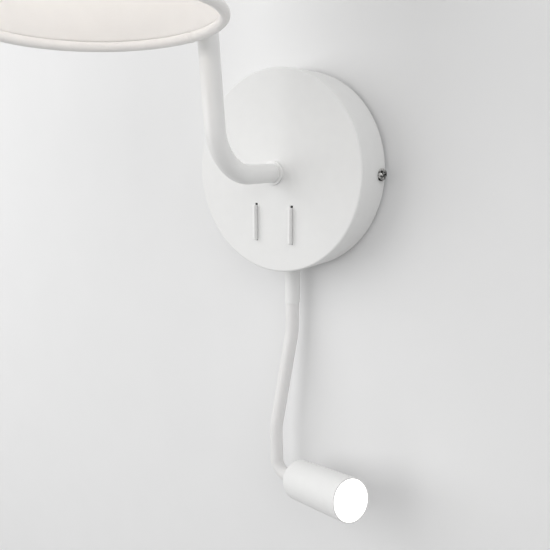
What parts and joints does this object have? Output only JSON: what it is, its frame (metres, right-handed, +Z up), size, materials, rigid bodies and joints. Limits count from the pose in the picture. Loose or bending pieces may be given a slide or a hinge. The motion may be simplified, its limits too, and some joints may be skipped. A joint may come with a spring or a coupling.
{
  "type": "bedside wall reading lamp",
  "caption": "Round wall canopy with a swivelling bent arm and drum shade, rocker switches, and a small reading spot on a flexible neck.",
  "frame": {"origin": "middle of the wall bracket's back face, on the wall", "axes": "+Z up, -Y out of the wall towards the room, +X to the right as one faces the wall"},
  "size_m": [0.1716, 0.2463, 0.5086],
  "materials": {
    "white_paint": "matt white powder coat on steel",
    "white_aluminium": "matt white powder coat on aluminium",
    "zinc_steel": "bright zinc plated",
    "chrome_screw": "nickel plated",
    "brass": "bare brass",
    "bare_aluminium": "bare extruded",
    "white_moulding": "moulded, fine matt",
    "rocker_white": "moulded, satin",
    "black_moulding": "moulded, matt",
    "lead_white": "soft PVC",
    "neck_sleeve": "smooth soft sleeve over a wound steel core",
    "steatite": "unglazed",
    "opal_globe": "opal",
    "shade_cloth": "plain weave cotton and linen look, off-white",
    "shade_backing": "pale laminated lining",
    "led_board": "white solder mask on aluminium",
    "led_phosphor": "yellow phosphor",
    "lens_diffuser": "moulded diffusing lens, lit"
  },
  "bodies": {
    "root": {"canopy": "white_paint", "canopy_screws": "chrome_screw", "wall_bracket": "zinc_steel", "bracket_screws": "zinc_steel", "earth_screw": "brass", "driver_case": "white_moulding", "terminal_block": "white_moulding", "terminal_screws": "brass", "cable_clamp": "black_moulding", "left_switch_housing": "black_moulding", "right_switch_housing": "black_moulding", "switch_pins": "zinc_steel", "switch_terminals": "brass", "neck_ferrule": "white_paint", "neck_saddle_washer": "zinc_steel", "neck_nut": "zinc_steel", "neck_root": "neck_sleeve", "driver_supply_lead": "lead_white", "neck_lead": "lead_white"},
    "arm": {"arm_collar": "white_paint", "arm_washer": "zinc_steel", "arm_nut": "zinc_steel", "arm_nipple": "zinc_steel", "arm_plug": "zinc_steel", "arm_tube": "white_paint", "arm_cable": "lead_white", "lampholder_nipple": "zinc_steel", "lampholder_cap": "white_moulding", "lampholder_body": "white_moulding", "lampholder_insert": "steatite", "lampholder_shell": "brass", "lampholder_contact": "brass", "shade_ring_nut": "white_moulding", "shade_carrier": "white_paint", "shade_bottom_ring": "zinc_steel", "shade_bottom_hem": "shade_cloth", "shade_top_hem": "shade_cloth", "shade_fabric": "shade_cloth", "shade_lining": "shade_backing", "bulb_cap": "bare_aluminium", "bulb_tip": "zinc_steel", "bulb_collar": "white_moulding", "bulb_globe": "opal_globe"},
    "left_rocker": {"left_rocker": "rocker_white"},
    "right_rocker": {"right_rocker": "rocker_white"},
    "neck_1": {"neck_segment_1": "neck_sleeve"},
    "neck_2": {"neck_segment_2": "neck_sleeve"},
    "neck_3": {"neck_segment_3": "neck_sleeve"},
    "neck_4": {"neck_segment_4": "neck_sleeve"},
    "neck_5": {"neck_segment_5": "neck_sleeve"},
    "neck_6": {"neck_segment_6": "neck_sleeve"},
    "head": {"neck_end": "neck_sleeve", "head_housing": "white_aluminium", "head_gland": "black_moulding", "head_heat_sink": "bare_aluminium", "head_led_board": "led_board", "head_led_chip": "led_phosphor", "head_lens": "lens_diffuser", "head_lens_ring": "black_moulding", "head_leads": "lead_white"}
  },
  "joints": [
    {"name": "arm_swivel", "type": "hinge", "parent": "root", "child": "arm", "pos_m": [0, -0.035, 0], "axis": [0, 1, 0], "range_deg": [-25.7, 34.3]},
    {"name": "left_switch", "type": "hinge", "parent": "root", "child": "left_rocker", "pos_m": [-0.0167, -0.031, -0.0385], "axis": [1, 0, 0], "range_deg": [-5, 5]},
    {"name": "right_switch", "type": "hinge", "parent": "root", "child": "right_rocker", "pos_m": [0.0167, -0.031, -0.0385], "axis": [1, 0, 0], "range_deg": [-5, 5]},
    {"name": "neck_sway_1", "type": "hinge", "parent": "root", "child": "neck_1", "pos_m": [0.0018, -0.012, -0.115], "axis": [0, 1, 0], "range_deg": [-18, 18]},
    {"name": "neck_lean_1", "type": "hinge", "parent": "neck_1", "child": "neck_2", "pos_m": [0.00072, -0.01329, -0.13989], "axis": [-1, 0, 0], "range_deg": [-1, 22]},
    {"name": "neck_sway_2", "type": "hinge", "parent": "neck_2", "child": "neck_3", "pos_m": [-0.00179, -0.0163, -0.16458], "axis": [0, 1, 0], "range_deg": [-18, 18]},
    {"name": "neck_lean_2", "type": "hinge", "parent": "neck_3", "child": "neck_4", "pos_m": [-0.00431, -0.0193, -0.18927], "axis": [-1, 0, 0], "range_deg": [-1, 22]},
    {"name": "neck_sway_3", "type": "hinge", "parent": "neck_4", "child": "neck_5", "pos_m": [-0.00666, -0.02217, -0.21349], "axis": [0, 1, 0], "range_deg": [-18, 18]},
    {"name": "neck_aim_1", "type": "hinge", "parent": "neck_5", "child": "neck_6", "pos_m": [-0.00606, -0.02269, -0.23497], "axis": [0.3745, 0.9272, 0.0024], "range_deg": [-5, 30]},
    {"name": "neck_aim_2", "type": "hinge", "parent": "neck_6", "child": "head", "pos_m": [-0.00353, -0.02302, -0.2505], "axis": [0.3745, 0.9272, 0.0024], "range_deg": [-5, 30]}
  ],
  "couplings": [
    {"joint": "neck_sway_2", "follows": "neck_sway_1", "ratio": 1},
    {"joint": "neck_lean_2", "follows": "neck_lean_1", "ratio": 1},
    {"joint": "neck_sway_3", "follows": "neck_sway_1", "ratio": 1},
    {"joint": "neck_aim_2", "follows": "neck_aim_1", "ratio": 1}
  ]
}
